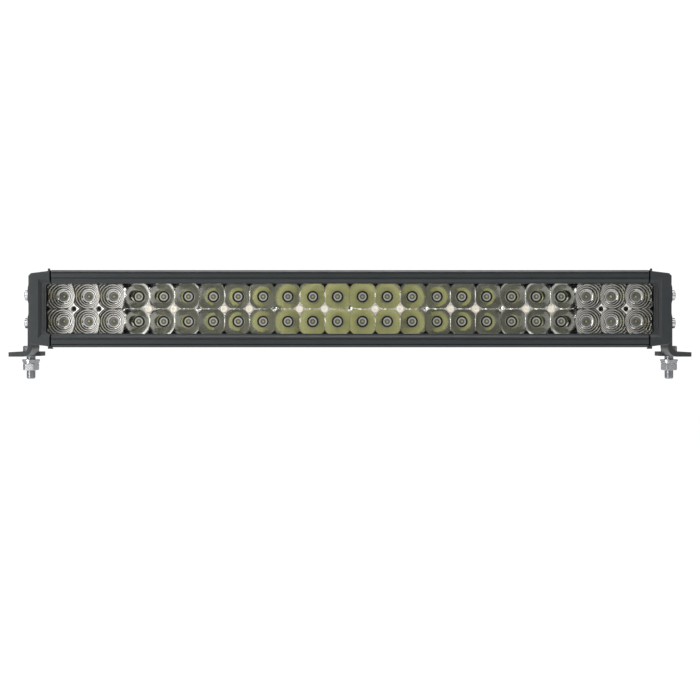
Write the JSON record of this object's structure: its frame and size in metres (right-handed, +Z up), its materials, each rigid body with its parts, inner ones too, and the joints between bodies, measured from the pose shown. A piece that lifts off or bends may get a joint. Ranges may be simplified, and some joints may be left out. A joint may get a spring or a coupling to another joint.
{
  "type": "LED light bar",
  "caption": "Long dual-row LED work lamp in a finned aluminium bar with spot and flood reflector cells, tilting between two L-brackets with foot bolts.",
  "frame": {"origin": "midway between the two foot bolts, on the plane under the bracket feet", "axes": "+X along the bar, +Z up, the lamp shines towards -Y"},
  "size_m": [0.61, 0.0674, 0.0987],
  "materials": {
    "housing_paint": "satin powder coat, anthracite",
    "bracket_paint": "satin powder coat, anthracite",
    "lens": "clear polycarbonate",
    "rubber": "matt",
    "cap_screw": "satin",
    "board": "black solder mask on a metal core",
    "pad": "soft grey pad",
    "led_base": "ceramic",
    "led_phosphor": "yellow phosphor",
    "led_dome": "clear silicone dome",
    "reflector": "metallised, mirror bright",
    "reflector_screw": "nickel",
    "black_screw": "black oxide",
    "driver_board": "green solder mask",
    "ferrite": "matt",
    "capacitor": "sleeved can",
    "chip": "matt",
    "black_plastic": "nylon, fine grain",
    "zinc": "bright zinc plate",
    "bolt_steel": "darker zinc plate"
  },
  "bodies": {
    "brackets": {"left_bracket": "bracket_paint", "right_bracket": "bracket_paint", "foot_bolts": "bolt_steel", "foot_flat_washers": "zinc", "foot_spring_washers": "zinc", "foot_nuts": "zinc"},
    "lamp": {"housing": "housing_paint", "upper_bezel": "housing_paint", "lower_bezel": "housing_paint", "lens": "lens", "lens_seal": "rubber", "left_end_cap": "housing_paint", "right_end_cap": "housing_paint", "left_cap_gasket": "rubber", "right_cap_gasket": "rubber", "left_lens_bead": "rubber", "right_lens_bead": "rubber", "left_cap_screws": "cap_screw", "right_cap_screws": "cap_screw", "left_led_board": "board", "right_led_board": "board", "thermal_pads": "pad", "led_packages": "led_base", "led_dies": "led_phosphor", "led_domes": "led_dome", "left_flood_reflector": "reflector", "right_flood_reflector": "reflector", "spot_reflector_1": "reflector", "spot_reflector_2": "reflector", "spot_reflector_3": "reflector", "spot_reflector_4": "reflector", "spot_reflector_5": "reflector", "spot_reflector_6": "reflector", "flood_reflector_screws": "black_screw", "spot_reflector_screws": "reflector_screw", "driver_board": "driver_board", "driver_inductors": "ferrite", "driver_capacitors": "capacitor", "driver_chips": "chip", "gland_body": "black_plastic", "gland_seal": "rubber", "gland_cap": "black_plastic", "breather_vent": "black_plastic", "pivot_bushes": "black_plastic", "lock_spacers": "zinc", "screw_flat_washers": "zinc", "screw_spring_washers": "zinc", "pivot_screws": "zinc", "lock_screws": "zinc"}
  },
  "joints": [
    {"name": "lamp_tilt", "type": "hinge", "parent": "brackets", "child": "lamp", "pos_m": [0, -0.0247, 0.03], "axis": [1, 0, 0], "range_deg": [-10, 10]}
  ]
}
